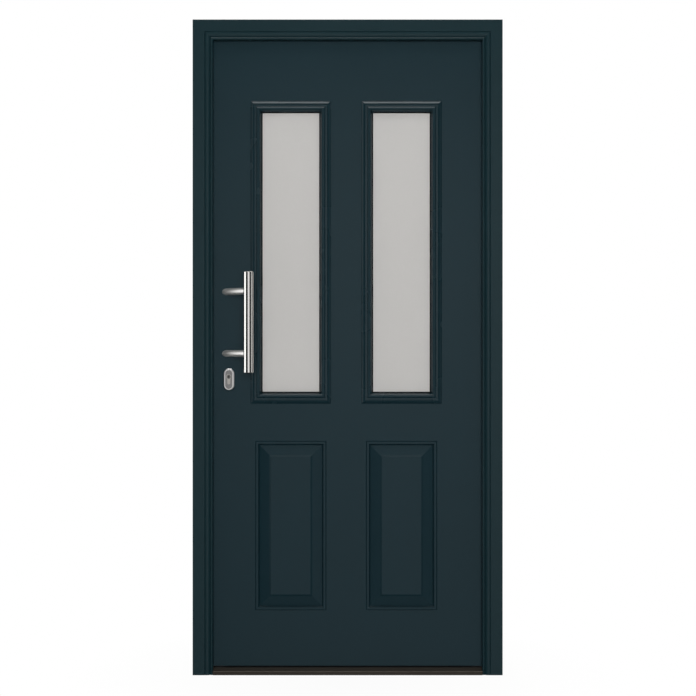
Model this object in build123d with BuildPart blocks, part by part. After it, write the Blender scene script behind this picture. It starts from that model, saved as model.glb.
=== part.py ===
"""Panelled front door in its frame, with two frosted lights, a bar handle outside and a lever inside.

Millimetres. +Z is up, -Y is the outside of the house and +X is the hinge side.
The origin lies on the floor, under the middle of the frame's width and depth.
"""

import os
from math import cos, radians, sin, tan

from build123d import *

os.makedirs("parts", exist_ok=True)

# Frame
frame_width = 1000.0
frame_height = 2115.0
frame_face = 65.0
rebate_face = 45.0
outer_shell_depth = 28.0
break_depth = 20.0
inner_shell_depth = 32.0
profile_wall = 2.2
profile_edge_radius = 2.0
groove_place = 38.5
groove_width = 2.2
groove_depth = 1.8
bead_rise = 0.6
bead_crest_depth = 0.1
bead_crest_share = 0.35
bead_width = 14.3
bead_fall = 3.0
quirk_width = 1.5
quirk_depth = 5.0
nose_crest_inset = 3.2
nose_crest_depth = 2.6
nose_fall = 6.0
break_bar = 3.0
cleat_length = 110.0
cleat_bar = 12.0

# Threshold
threshold_height = 20.0
threshold_front_height = 12.0
threshold_nose_radius = 3.0
threshold_back_radius = 6.0
threshold_land = 6.0

# Leaf
leaf_thickness = 65.0
stop_gap = 4.0
leaf_gap = 5.0
sill_gap = 4.0
flange_gap = 4.0
flange_overlap = 15.0
skin_thickness = 1.2
skin_return = 14.0
stile_width = 44.0

# Lights above panels, two of each side by side
field_offset = -4.7
field_margin = 154.75
field_gap = 128.5
panel_above_bottom = 179.5
panel_height = 550.0
light_above_panel = 159.5
light_below_top = 246.0
moulding_overhang = 15.0

# Pressed relief of a panel, from its outline inwards
relief_groove_width = 3.0
relief_groove_depth = 2.2
relief_strip_width = 6.5
relief_strip_depth = 0.8
relief_quirk_width = 5.0
relief_quirk_depth = 9.5
relief_bevel_width = 31.5
relief_bevel_depth = 2.8
relief_step_width = 5.5

# Glazing
moulding_width = 38.5
moulding_outer_height = 7.0
moulding_outer_width = 11.0
moulding_quirk_width = 1.5
moulding_flat_height = 4.5
moulding_flat_width = 6.0
moulding_bead_height = 9.5
moulding_bead_width = 11.5
moulding_bead_foot = 7.0
moulding_lip_depth = 3.0
moulding_outer_bulge = 1.6
gasket_show = 3.5
glass_bite = 11.0
glass_play = 3.5
tape_thickness = 2.0
pane_thickness = 4.0
pane_cavity = 14.0
spacer_width = 7.0

# Seals
seal_foot_width = 4.8
seal_foot_depth = 3.0
seal_bulb_width = 8.0
seal_clearance = 0.3
stop_seal_inset = 8.0
flange_seal_inset = 8.0
sill_seal_width = 12.0
sill_seal_foot = 5.0

# Lock
backset = 65.0
cylinder_z = 962.0
lever_above_cylinder = 92.0
latch_above_lever = 30.0
deadbolt_above_cylinder = 43.0
upper_bolt_below_top = 365.0
lower_bolt_above_bottom = 306.0
faceplate_width = 20.0
faceplate_thickness = 3.0
faceplate_below_top = 215.0
faceplate_above_bottom = 156.0
case_thickness = 16.0
case_wall = 1.5
case_behind_follower = 33.0
case_above_latch = 36.0
case_below_cylinder = 50.0
bolt_case_depth = 48.0
bolt_case_height = 120.0
bolt_thickness = 10.0
deadbolt_height = 34.0
deadbolt_tail = 32.0
side_bolt_height = 30.0
side_bolt_tail = 16.0
bolt_throw = 20.0
bolt_setback = 0.5
latch_throw = 12.0
latch_height = 32.0
latch_thickness = 12.0
latch_head_length = 32.0
latch_tail_length = 50.0
latch_tail_height = 10.0
latch_tail_thickness = 6.0
latch_bevel = 9.0
latch_lug_length = 6.0
latch_lug_drop = 6.0
follower_diameter = 22.0
follower_arm_width = 6.0
follower_arm_reach = 23.0
follower_play = 0.4
spindle_square = 8.0
rod_thickness = 3.0
rod_width = 12.0
rod_travel = 18.0
fit_gap = 0.3
slide_gap = 0.4
turn_gap = 0.05
pocket_gap = 0.3

# Profile cylinder
cylinder_head = 17.0
cylinder_tail_width = 10.0
cylinder_height = 33.0
plug_diameter = 13.0
cam_width = 9.6
cam_ring = 15.0
cam_reach = 15.0
cam_tooth = 8.0
cam_room = 0.6
cylinder_proud = 1.0
keyway_width = 2.4
keyway_height = 8.0
keyway_depth = 24.0

# Strike plates
strike_thickness = 1.5
strike_width = 26.0
strike_margin = 16.0
strike_play = 2.0

# Outside handle
bar_diameter = 32.0
bar_length = 325.0
bar_above_cylinder = 175.5
bar_end_bevel = 2.0
post_diameter = 22.0
post_spacing = 200.0
post_angle = 45.0
post_foot_from_edge = 58.0
bar_projection = 75.0
stud_diameter = 8.0
stud_depth = 20.0

# Escutcheons and lever
escutcheon_width = 34.0
escutcheon_height = 72.0
escutcheon_thickness = 9.0
escutcheon_bevel = 2.5
escutcheon_drop = 8.5
plate_width = 36.0
plate_end = 46.0
plate_thickness = 8.0
plate_bevel = 2.0
plate_corner = 6.0
lever_diameter = 20.0
lever_stand_off = 48.0
lever_length = 128.0
lever_tip_bevel = 1.5
spindle_grip = 26.0

# Hinges
hinge_end = 220.0
hinge_height = 100.0
hinge_knuckle = 20.0
hinge_pin_diameter = 10.0
hinge_edge_gap = 2.0
hinge_frame_plate_width = 24.0
hinge_frame_plate = 6.0
hinge_frame_neck = 16.0
hinge_leaf_plate_length = 66.0
hinge_leaf_plate = 5.0
hinge_corner = 4.0
hinge_slack = 0.3

# Wall anchors bolted to the wall side of the jambs' inner shells
fixing_hole = 10.5
fixing_end = 200.0
fixing_places = 4

cut_overrun = 1.0

# Depths of the frame, from outside to inside
frame_depth = outer_shell_depth + break_depth + inner_shell_depth
outside_y = -frame_depth / 2
inside_y = frame_depth / 2
stop_back_y = outside_y + outer_shell_depth
inner_shell_y = stop_back_y + break_depth

# Clear sizes of the frame
half_width = frame_width / 2
opening_half = half_width - frame_face
rebate_half = half_width - rebate_face
rebate_top = frame_height - rebate_face

# Faces of the leaf
leaf_outer_y = stop_back_y + stop_gap
leaf_inner_y = leaf_outer_y + leaf_thickness
leaf_middle_y = (leaf_outer_y + leaf_inner_y) / 2
return_y = leaf_outer_y + skin_return
flange_under_y = inside_y + flange_gap
leaf_half = rebate_half - leaf_gap
leaf_bottom = threshold_height + sill_gap
leaf_top = rebate_top - leaf_gap
flange_half = rebate_half + flange_overlap
flange_top = rebate_top + flange_overlap
core_outer_y = leaf_outer_y + skin_thickness
core_inner_y = leaf_inner_y - skin_thickness
core_half = leaf_half - stile_width
core_bottom = leaf_bottom + stile_width
core_top = leaf_top - stile_width

# Lights and panels
panel_width = leaf_half - field_margin - field_gap / 2
panel_centre_z = leaf_bottom + panel_above_bottom + panel_height / 2
field_spacing = panel_width + field_gap
sight_width = panel_width + 2 * (moulding_overhang - moulding_width)
sight_bottom = leaf_bottom + panel_above_bottom + panel_height + light_above_panel
sight_height = leaf_top - light_below_top - sight_bottom
sight_centre_z = sight_bottom + sight_height / 2
field_centres_x = (field_offset - field_spacing / 2, field_offset + field_spacing / 2)
cut_width = sight_width + 2 * (glass_bite + glass_play)
cut_height = sight_height + 2 * (glass_bite + glass_play)
pane_width = sight_width + 2 * glass_bite
pane_height = sight_height + 2 * glass_bite
unit_thickness = 3 * pane_thickness + 2 * pane_cavity
pane_places_y = tuple(
    leaf_middle_y - unit_thickness / 2 + n * (pane_thickness + pane_cavity) for n in range(3)
)

# Lock places
lock_y = (return_y + flange_under_y) / 2
edge_x = -leaf_half
lock_x = edge_x + backset
follower_z = cylinder_z + lever_above_cylinder
latch_z = follower_z + latch_above_lever
deadbolt_z = cylinder_z + deadbolt_above_cylinder
upper_bolt_z = leaf_top - upper_bolt_below_top
lower_bolt_z = leaf_bottom + lower_bolt_above_bottom
faceplate_top = leaf_top - faceplate_below_top
faceplate_bottom = leaf_bottom + faceplate_above_bottom
deadbolt_length = bolt_throw + deadbolt_tail
side_bolt_length = bolt_throw + side_bolt_tail
rod_x = edge_x + faceplate_thickness + fit_gap
case_front_x = rod_x + rod_thickness + fit_gap
case_back_x = lock_x + case_behind_follower
case_top = latch_z + case_above_latch
case_bottom = cylinder_z - case_below_cylinder
case_half = case_thickness / 2
tail_radius = cylinder_tail_width / 2
tail_centre_drop = cylinder_height - cylinder_head / 2 - tail_radius
escutcheon_z = cylinder_z - escutcheon_drop
cylinder_room = fit_gap

# Hinge axis, clear of the flange's edge and proud of the leaf's inside face
hinge_x = flange_half + hinge_edge_gap + hinge_knuckle / 2
hinge_y = leaf_inner_y + hinge_knuckle / 2
hinge_places_z = (leaf_bottom + hinge_end, (leaf_bottom + leaf_top) / 2, leaf_top - hinge_end)

# Handle bar axis
post_foot_x = edge_x + post_foot_from_edge
bar_x = post_foot_x + bar_projection * tan(radians(post_angle))
bar_y = leaf_outer_y - bar_projection
bar_centre_z = cylinder_z + bar_above_cylinder
post_places_z = (bar_centre_z - post_spacing / 2, bar_centre_z + post_spacing / 2)


def save(piece, name):
    """Label a finished piece and write it as its own node."""
    piece.label = name
    export_step(piece, f"parts/{name}.step")


def block(low, high, mode=Mode.ADD):
    """Add or cut a box between two corners of the part being built."""
    centre = tuple((a + b) / 2 for a, b in zip(low, high))
    size = [b - a for a, b in zip(low, high)]
    with Locations(centre):
        Box(*size, mode=mode)


def jamb_plane(side):
    """Section plane of a jamb: local x runs from the wall to the opening, local y to the inside."""
    return Plane(origin=(side * half_width, outside_y, 0), x_dir=(-side, 0, 0), z_dir=(0, 0, -side))


head_plane = Plane(origin=(-half_width, outside_y, frame_height), x_dir=(0, 0, -1), z_dir=(1, 0, 0))


def mitre_plane(side):
    """Plane of a top corner's mitre, whose normal points into the head."""
    return Plane(origin=(side * half_width, 0, frame_height), x_dir=(0, 1, 0), z_dir=(-side, 0, 1))


def depth_in_frame(y):
    """Depth of a place behind the frame's outside face, which is local y on a section plane."""
    return y - outside_y


# Outer shells: flat face, groove, bead and nosing, with two chambers and a seal groove in the stop
def outer_shell_section():
    """Draw the section of the frame's outer shell on the current sketch plane."""
    bead_place = groove_place + groove_width
    bead_end = bead_place + bead_width
    nose_place = bead_end + quirk_width
    seal_place = frame_face - stop_seal_inset
    with BuildLine() as outline:
        Polyline(
            (0, outer_shell_depth),
            (0, 0),
            (groove_place, 0),
            (groove_place + groove_width / 2, groove_depth),
            (bead_place, bead_rise),
        )
        ThreePointArc(
            (bead_place, bead_rise),
            (bead_place + bead_crest_share * bead_width, bead_crest_depth),
            (bead_end, bead_fall),
        )
        Line((bead_end, bead_fall), (nose_place, quirk_depth))
        ThreePointArc(
            (nose_place, quirk_depth),
            (frame_face - nose_crest_inset, nose_crest_depth),
            (frame_face, nose_fall),
        )
        Polyline(
            (frame_face, nose_fall),
            (frame_face, outer_shell_depth),
            (seal_place + seal_foot_width / 2, outer_shell_depth),
            (seal_place + seal_foot_width / 2, outer_shell_depth - seal_foot_depth),
            (seal_place - seal_foot_width / 2, outer_shell_depth - seal_foot_depth),
            (seal_place - seal_foot_width / 2, outer_shell_depth),
            (0, outer_shell_depth),
        )
    face = make_face(outline.edges())
    corner = face.vertices().sort_by(Axis.X)[:2].sort_by(Axis.Y)[0]
    fillet(corner, profile_edge_radius)
    chamber_end = outer_shell_depth - profile_wall
    nose_start = nose_fall + profile_wall
    with Locations((profile_wall, profile_wall)):
        Rectangle(
            groove_place - 2 * profile_wall,
            chamber_end - profile_wall,
            align=(Align.MIN, Align.MIN),
            mode=Mode.SUBTRACT,
        )
    with Locations((groove_place + profile_wall, nose_start)):
        Rectangle(
            frame_face - groove_place - 2 * profile_wall,
            chamber_end - seal_foot_depth - nose_start,
            align=(Align.MIN, Align.MIN),
            mode=Mode.SUBTRACT,
        )


def inner_shell_section():
    """Draw the section of the frame's inner shell, a box with rounded room-side edges."""
    start = depth_in_frame(inner_shell_y)
    with Locations((0, start)):
        shell = Rectangle(rebate_face, inner_shell_depth, align=(Align.MIN, Align.MIN))
    fillet(shell.vertices().group_by(Axis.Y)[-1], profile_edge_radius)
    with Locations((profile_wall, start + profile_wall)):
        Rectangle(
            rebate_face - 2 * profile_wall,
            inner_shell_depth - 2 * profile_wall,
            align=(Align.MIN, Align.MIN),
            mode=Mode.SUBTRACT,
        )


fixing_step = (frame_height - 2 * fixing_end) / (fixing_places - 1)
fixing_places_z = tuple(fixing_end + n * fixing_step for n in range(fixing_places))
fixing_y = (inner_shell_y + inside_y) / 2
main_openings = (
    (deadbolt_z, deadbolt_height, bolt_thickness),
    (latch_z, latch_height, latch_thickness),
)
side_openings = tuple((z, side_bolt_height, bolt_thickness) for z in (lower_bolt_z, upper_bolt_z))


def cut_strike_opening(place_z, height, thickness, low_x, high_x, room):
    """Cut the hole that a bolt enters, from one x to another."""
    half_z = height / 2 + room
    half_y = thickness / 2 + room
    block(
        (low_x, lock_y - half_y, place_z - half_z),
        (high_x, lock_y + half_y, place_z + half_z),
        mode=Mode.SUBTRACT,
    )


for side, side_name in ((-1, "left"), (1, "right")):
    for section, shell_name in (
        (outer_shell_section, "jamb_outer"),
        (inner_shell_section, "jamb_inner"),
    ):
        with BuildPart() as jamb:
            with BuildSketch(jamb_plane(side)):
                section()
            extrude(amount=-side * frame_height)
            split(bisect_by=mitre_plane(side), keep=Keep.BOTTOM)
            if section is inner_shell_section:
                with Locations(*[(side * half_width, fixing_y, z) for z in fixing_places_z]):
                    Cylinder(
                        fixing_hole / 2,
                        2 * (profile_wall + cut_overrun),
                        rotation=(0, 90, 0),
                        mode=Mode.SUBTRACT,
                    )
                if side < 0:
                    for bolt in main_openings + side_openings:
                        cut_strike_opening(
                            *bolt,
                            -rebate_half - profile_wall - cut_overrun,
                            -rebate_half + cut_overrun,
                            strike_play,
                        )
        save(jamb.part, f"{side_name}_{shell_name}")

for section, shell_name in (
    (outer_shell_section, "head_outer"),
    (inner_shell_section, "head_inner"),
):
    with BuildPart() as head:
        with BuildSketch(head_plane):
            section()
        extrude(amount=frame_width)
        for side in (-1, 1):
            split(bisect_by=mitre_plane(side), keep=Keep.TOP)
    save(head.part, shell_name)

# Insulating bars between the shells, six straight lengths mitred at the top corners
with BuildPart() as thermal_breaks:
    for wall_side in (profile_wall, rebate_face - break_bar):
        room_side = wall_side + break_bar
        with BuildSketch(Plane.XZ.offset(-stop_back_y)):
            for side in (-1, 1):
                with BuildLine():
                    Polyline(
                        (side * (half_width - wall_side), 0),
                        (side * (half_width - wall_side), frame_height - wall_side - fit_gap),
                        (side * (half_width - room_side), frame_height - room_side - fit_gap),
                        (side * (half_width - room_side), 0),
                        close=True,
                    )
                make_face()
            with BuildLine():
                Polyline(
                    (wall_side - half_width, frame_height - wall_side),
                    (room_side - half_width, frame_height - room_side),
                    (half_width - room_side, frame_height - room_side),
                    (half_width - wall_side, frame_height - wall_side),
                    close=True,
                )
            make_face()
        extrude(amount=-break_depth)
save(thermal_breaks.part, "thermal_breaks")

# Corner cleats, L brackets inside the face chambers of the outer shells
cleat_room = profile_wall + fit_gap
cleat_depth = outer_shell_depth - 2 * cleat_room
cleat_arm = groove_place - profile_wall - fit_gap
with BuildPart() as corner_cleats:
    for side in (-1, 1):
        corner_x = side * (half_width - cleat_room)
        corner_z = frame_height - cleat_room
        with BuildSketch(Plane.XZ.offset(-outside_y - cleat_room)):
            with BuildLine():
                Polyline(
                    (corner_x, corner_z),
                    (corner_x, corner_z - cleat_length),
                    (corner_x - side * cleat_bar, corner_z - cleat_length),
                    (corner_x - side * cleat_bar, corner_z - cleat_arm),
                    (corner_x - side * cleat_arm, corner_z - cleat_bar),
                    (corner_x - side * cleat_length, corner_z - cleat_bar),
                    (corner_x - side * cleat_length, corner_z),
                    close=True,
                )
            make_face()
        extrude(amount=-cleat_depth)
save(corner_cleats.part, "corner_cleats")


# Seals: a foot held in a groove and a rounded bulb
def seal_section(gap):
    """Draw a seal whose foot lies below local x and whose bulb fills a gap above it, less its clearance."""
    bulb = gap - seal_clearance
    with Locations((0, -seal_foot_depth)):
        Rectangle(seal_foot_width, seal_foot_depth, align=(Align.CENTER, Align.MIN))
    with BuildLine() as bulb_outline:
        Line((-seal_bulb_width / 2, 0), (seal_bulb_width / 2, 0))
        ThreePointArc((seal_bulb_width / 2, 0), (0, bulb), (-seal_bulb_width / 2, 0))
    make_face(bulb_outline.edges())


stop_seal_x = half_width - frame_face + stop_seal_inset
stop_seal_z = frame_height - frame_face + stop_seal_inset
with BuildPart() as frame_seal:
    for side in (-1, 1):
        with BuildSketch(
            Plane(
                origin=(side * stop_seal_x, stop_back_y, threshold_height + fit_gap),
                x_dir=(1, 0, 0),
                z_dir=(0, 0, 1),
            )
        ):
            seal_section(stop_gap)
        extrude(amount=stop_seal_z - seal_bulb_width / 2 - 2 * fit_gap - threshold_height)
    with BuildSketch(
        Plane(origin=(-stop_seal_x, stop_back_y, stop_seal_z), x_dir=(0, 0, -1), z_dir=(1, 0, 0))
    ):
        seal_section(stop_gap)
    extrude(amount=2 * stop_seal_x)
save(frame_seal.part, "frame_seal")

flange_seal_x = flange_half - flange_seal_inset
flange_seal_z = flange_top - flange_seal_inset
with BuildPart() as leaf_seal:
    for side in (-1, 1):
        with BuildSketch(
            Plane(
                origin=(side * flange_seal_x, flange_under_y, leaf_bottom + skin_thickness),
                x_dir=(-1, 0, 0),
                z_dir=(0, 0, 1),
            )
        ):
            seal_section(flange_gap)
        extrude(amount=flange_seal_z - seal_bulb_width / 2 - fit_gap - leaf_bottom - skin_thickness)
    with BuildSketch(
        Plane(origin=(-flange_seal_x, flange_under_y, flange_seal_z), x_dir=(0, 0, 1), z_dir=(1, 0, 0))
    ):
        seal_section(flange_gap)
    extrude(amount=2 * flange_seal_x)
save(leaf_seal.part, "leaf_seal")

with BuildPart() as bottom_seal:
    with BuildSketch(Plane(origin=(-core_half, lock_y, leaf_bottom), x_dir=(0, 1, 0), z_dir=(1, 0, 0))):
        with BuildLine():
            Line((-sill_seal_width / 2, 0), (sill_seal_width / 2, 0))
            ThreePointArc(
                (sill_seal_width / 2, 0), (0, seal_clearance - sill_gap), (-sill_seal_width / 2, 0)
            )
        make_face()
        Rectangle(sill_seal_foot, seal_foot_depth, align=(Align.CENTER, Align.MIN))
    extrude(amount=2 * core_half)
save(bottom_seal.part, "bottom_seal")

# Threshold: outer nosing, insulating core and inner ramp
with BuildPart() as threshold_front:
    with BuildSketch(Plane(origin=(-opening_half, outside_y, 0), x_dir=(0, 1, 0), z_dir=(1, 0, 0))):
        with BuildLine():
            Polyline(
                (0, 0),
                (0, threshold_front_height),
                (outer_shell_depth - threshold_land, threshold_height),
                (outer_shell_depth, threshold_height),
                (outer_shell_depth, 0),
                close=True,
            )
        nosing = make_face()
        nose_corner = nosing.vertices().group_by(Axis.X)[0].sort_by(Axis.Y)[-1]
        fillet(nose_corner, threshold_nose_radius)
        with Locations((2 * profile_wall, profile_wall)):
            Rectangle(
                outer_shell_depth - 3 * profile_wall,
                threshold_front_height - 2 * profile_wall,
                align=(Align.MIN, Align.MIN),
                mode=Mode.SUBTRACT,
            )
    extrude(amount=2 * opening_half)
save(threshold_front.part, "threshold_front")

with BuildPart() as threshold_core:
    block((-rebate_half, stop_back_y, 0), (rebate_half, inner_shell_y, threshold_height))
save(threshold_core.part, "threshold_core")

with BuildPart() as threshold_back:
    with BuildSketch(Plane(origin=(-rebate_half, inner_shell_y, 0), x_dir=(0, 1, 0), z_dir=(1, 0, 0))):
        ramp = Rectangle(inner_shell_depth, threshold_height, align=(Align.MIN, Align.MIN))
        ramp_corner = ramp.vertices().group_by(Axis.X)[-1].sort_by(Axis.Y)[-1]
        fillet(ramp_corner, threshold_back_radius)
        with Locations((profile_wall, profile_wall)):
            Rectangle(
                inner_shell_depth - profile_wall - threshold_back_radius,
                threshold_height - 2 * profile_wall,
                align=(Align.MIN, Align.MIN),
                mode=Mode.SUBTRACT,
            )
    extrude(amount=2 * rebate_half)
save(threshold_back.part, "threshold_back")

# Strike plates on the lock jamb
def strike_plate(openings):
    """Add a strike plate with the given openings, on the jamb's rebate face."""
    low_z = min(z - height / 2 for z, height, _ in openings) - strike_margin
    high_z = max(z + height / 2 for z, height, _ in openings) + strike_margin
    block(
        (-rebate_half, lock_y - strike_width / 2, low_z),
        (-rebate_half + strike_thickness, lock_y + strike_width / 2, high_z),
    )
    for bolt in openings:
        cut_strike_opening(
            *bolt,
            -rebate_half - cut_overrun,
            -rebate_half + strike_thickness + cut_overrun,
            strike_play,
        )


with BuildPart() as main_strike:
    strike_plate(main_openings)
save(main_strike.part, "main_strike")

with BuildPart() as side_strikes:
    for opening in side_openings:
        strike_plate((opening,))
save(side_strikes.part, "side_strikes")


# Pressed panels: a groove, a strip, a quirk and a bevel that climbs to the field
def face_rectangle(centre_x, centre_z, width, height, y):
    """Closed path round a rectangle on a face of the leaf, from the middle of its lower side."""
    with BuildLine() as outline:
        Polyline(
            (centre_x, y, centre_z - height / 2),
            (centre_x + width / 2, y, centre_z - height / 2),
            (centre_x + width / 2, y, centre_z + height / 2),
            (centre_x - width / 2, y, centre_z + height / 2),
            (centre_x - width / 2, y, centre_z - height / 2),
            (centre_x, y, centre_z - height / 2),
        )
    return outline.wires()[0]


def face_section_plane(centre_x, low_z, y):
    """Section plane at the lower side of such a rectangle: local x points down, local y to the inside."""
    return Plane(origin=(centre_x, y, low_z), x_dir=(0, 0, -1), z_dir=(1, 0, 0))


def panel_relief(centre_x, face_y, inwards):
    """Ring of material that pressing takes from a face at face_y; inwards is 1 outside and -1 inside."""
    strip_start = relief_groove_width
    strip_end = strip_start + relief_strip_width
    bevel_start = strip_end + relief_quirk_width
    bevel_end = bevel_start + relief_bevel_width
    profile = (
        (0, -cut_overrun),
        (0, 0),
        (relief_groove_width / 2, relief_groove_depth),
        (strip_start, relief_strip_depth),
        (strip_end, relief_strip_depth),
        (bevel_start, relief_quirk_depth),
        (bevel_end, relief_bevel_depth),
        (bevel_end + relief_step_width, 0),
        (bevel_end + relief_step_width, -cut_overrun),
    )
    with BuildPart() as ring:
        with BuildSketch(face_section_plane(centre_x, panel_centre_z - panel_height / 2, face_y)):
            with BuildLine():
                Polyline(*[(-inset, inwards * depth) for inset, depth in profile], close=True)
            make_face()
        sweep(
            path=face_rectangle(centre_x, panel_centre_z, panel_width, panel_height, face_y),
            transition=Transition.RIGHT,
        )
    return ring.part


def cut_lights(low_y, high_y):
    """Cut both openings of the lights between two depths."""
    for centre_x in field_centres_x:
        block(
            (centre_x - cut_width / 2, low_y, sight_centre_z - cut_height / 2),
            (centre_x + cut_width / 2, high_y, sight_centre_z + cut_height / 2),
            mode=Mode.SUBTRACT,
        )


def cylinder_profile(room):
    """Draw the profile cylinder's section about its head, grown by a room."""
    Circle(cylinder_head / 2 + room)
    with Locations((0, -tail_centre_drop)):
        Circle(tail_radius + room)
        Rectangle(
            cylinder_tail_width + 2 * room, tail_centre_drop, align=(Align.CENTER, Align.MIN)
        )


def cut_cylinder_hole(low_y, high_y, room):
    """Cut the profile cylinder's hole between two depths."""
    with BuildSketch(Plane(origin=(lock_x, high_y, cylinder_z), x_dir=(1, 0, 0), z_dir=(0, -1, 0))) as hole:
        cylinder_profile(room)
    extrude(hole.sketch, amount=high_y - low_y, mode=Mode.SUBTRACT)


def cut_square_hole(x, z, low_y, high_y, half):
    """Cut a square room along Y between two depths, where a plate or a post hides it."""
    block((x - half, low_y, z - half), (x + half, high_y, z + half), mode=Mode.SUBTRACT)


def cut_cylinder_room(low_y, high_y):
    """Cut an oblong room for the profile cylinder between two depths."""
    half = cylinder_head / 2 + cylinder_room
    block(
        (lock_x - half, low_y, cylinder_z + cylinder_head / 2 - cylinder_height - cylinder_room),
        (lock_x + half, high_y, cylinder_z + half),
        mode=Mode.SUBTRACT,
    )


def cut_round_hole(x, z, low_y, high_y, diameter):
    """Cut a round hole along Y between two depths."""
    with Locations((x, (low_y + high_y) / 2, z)):
        Cylinder(diameter / 2, high_y - low_y, rotation=(90, 0, 0), mode=Mode.SUBTRACT)


lever_hole = lever_diameter + 2 * fit_gap
spindle_half = lever_diameter / 2
stud_half = stud_diameter / 2 + fit_gap

with BuildPart() as outer_skin_room:
    block(
        (skin_thickness - leaf_half, core_outer_y, leaf_bottom + skin_thickness),
        (leaf_half - skin_thickness, return_y + cut_overrun, leaf_top - skin_thickness),
    )
    for centre_x in field_centres_x:
        add(panel_relief(centre_x, core_outer_y, 1), mode=Mode.SUBTRACT)

with BuildPart() as outer_skin:
    block((-leaf_half, leaf_outer_y, leaf_bottom), (leaf_half, return_y, leaf_top))
    for centre_x in field_centres_x:
        add(panel_relief(centre_x, leaf_outer_y, 1), mode=Mode.SUBTRACT)
    add(outer_skin_room.part, mode=Mode.SUBTRACT)
    cut_lights(leaf_outer_y - cut_overrun, return_y)
    cut_cylinder_room(leaf_outer_y - cut_overrun, return_y)
    for post_z in post_places_z:
        cut_square_hole(post_foot_x, post_z, leaf_outer_y - cut_overrun, return_y, stud_half)
save(outer_skin.part, "outer_skin")

with BuildPart() as inner_skin_room:
    block(
        (skin_thickness - flange_half, flange_under_y - cut_overrun, leaf_bottom + skin_thickness),
        (flange_half - skin_thickness, core_inner_y, flange_top - skin_thickness),
    )
    for centre_x in field_centres_x:
        add(panel_relief(centre_x, core_inner_y, -1), mode=Mode.SUBTRACT)

with BuildPart() as inner_skin:
    block((-flange_half, flange_under_y, leaf_bottom), (flange_half, leaf_inner_y, flange_top))
    for centre_x in field_centres_x:
        add(panel_relief(centre_x, leaf_inner_y, -1), mode=Mode.SUBTRACT)
    add(inner_skin_room.part, mode=Mode.SUBTRACT)
    cut_lights(flange_under_y, leaf_inner_y + cut_overrun)
    cut_cylinder_room(flange_under_y, leaf_inner_y + cut_overrun)
    cut_square_hole(lock_x, follower_z, flange_under_y, leaf_inner_y + cut_overrun, spindle_half)
save(inner_skin.part, "inner_skin")


# Pockets for the lock in the leaf's edge and core
def cut_lock_pockets():
    """Cut the groove behind the faceplate and the pockets of the lock cases."""
    groove_half = faceplate_width / 2
    block(
        (edge_x - cut_overrun, lock_y - groove_half, faceplate_bottom),
        (case_front_x, lock_y + groove_half, faceplate_top),
        mode=Mode.SUBTRACT,
    )
    block(
        (edge_x, lock_y - case_half - pocket_gap, case_bottom - pocket_gap),
        (case_back_x + pocket_gap, lock_y + case_half + pocket_gap, case_top + pocket_gap),
        mode=Mode.SUBTRACT,
    )
    for bolt_z in (lower_bolt_z, upper_bolt_z):
        half_z = bolt_case_height / 2 + pocket_gap
        block(
            (edge_x, lock_y - case_half - pocket_gap, bolt_z - half_z),
            (
                case_front_x + bolt_case_depth + pocket_gap,
                lock_y + case_half + pocket_gap,
                bolt_z + half_z,
            ),
            mode=Mode.SUBTRACT,
        )


with BuildPart() as foam_core:
    block((-core_half, core_outer_y, core_bottom), (core_half, core_inner_y, core_top))
    for centre_x in field_centres_x:
        add(panel_relief(centre_x, core_outer_y, 1), mode=Mode.SUBTRACT)
        add(panel_relief(centre_x, core_inner_y, -1), mode=Mode.SUBTRACT)
    cut_lights(core_outer_y - cut_overrun, core_inner_y + cut_overrun)
    cut_lock_pockets()
    cut_cylinder_room(core_outer_y - cut_overrun, core_inner_y + cut_overrun)
    cut_square_hole(lock_x, follower_z, lock_y, core_inner_y + cut_overrun, spindle_half)
    for post_z in post_places_z:
        cut_square_hole(
            post_foot_x, post_z, core_outer_y - cut_overrun, leaf_outer_y + stud_depth + fit_gap, stud_half
        )
save(foam_core.part, "foam_core")

# Edge frame of the leaf: stiles and rails between the skins, with the flange that laps the frame
with BuildPart() as edge_frame:
    block(
        (skin_thickness - leaf_half, core_outer_y, leaf_bottom + skin_thickness),
        (leaf_half - skin_thickness, core_inner_y, leaf_top - skin_thickness),
    )
    block((-leaf_half, return_y, leaf_bottom), (leaf_half, flange_under_y, leaf_top))
    block(
        (skin_thickness - flange_half, flange_under_y, leaf_bottom + skin_thickness),
        (flange_half - skin_thickness, core_inner_y, flange_top - skin_thickness),
    )
    block(
        (-core_half, core_outer_y - cut_overrun, core_bottom),
        (core_half, core_inner_y + cut_overrun, core_top),
        mode=Mode.SUBTRACT,
    )
    for side in (-1, 1):
        block(
            (
                side * flange_seal_x - seal_foot_width / 2,
                flange_under_y,
                leaf_bottom,
            ),
            (
                side * flange_seal_x + seal_foot_width / 2,
                flange_under_y + seal_foot_depth,
                flange_seal_z,
            ),
            mode=Mode.SUBTRACT,
        )
    block(
        (-flange_seal_x, flange_under_y, flange_seal_z - seal_foot_width / 2),
        (flange_seal_x, flange_under_y + seal_foot_depth, flange_seal_z + seal_foot_width / 2),
        mode=Mode.SUBTRACT,
    )
    block(
        (-core_half, lock_y - sill_seal_foot / 2, leaf_bottom),
        (core_half, lock_y + sill_seal_foot / 2, leaf_bottom + seal_foot_depth),
        mode=Mode.SUBTRACT,
    )
    cut_lock_pockets()

with BuildPart() as lock_stile:
    add(edge_frame.part)
    split(bisect_by=Plane.YZ.offset(-core_half), keep=Keep.BOTTOM)
save(lock_stile.part, "lock_stile")

with BuildPart() as hinge_stile:
    add(edge_frame.part)
    split(bisect_by=Plane.YZ.offset(core_half), keep=Keep.TOP)
save(hinge_stile.part, "hinge_stile")

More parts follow.
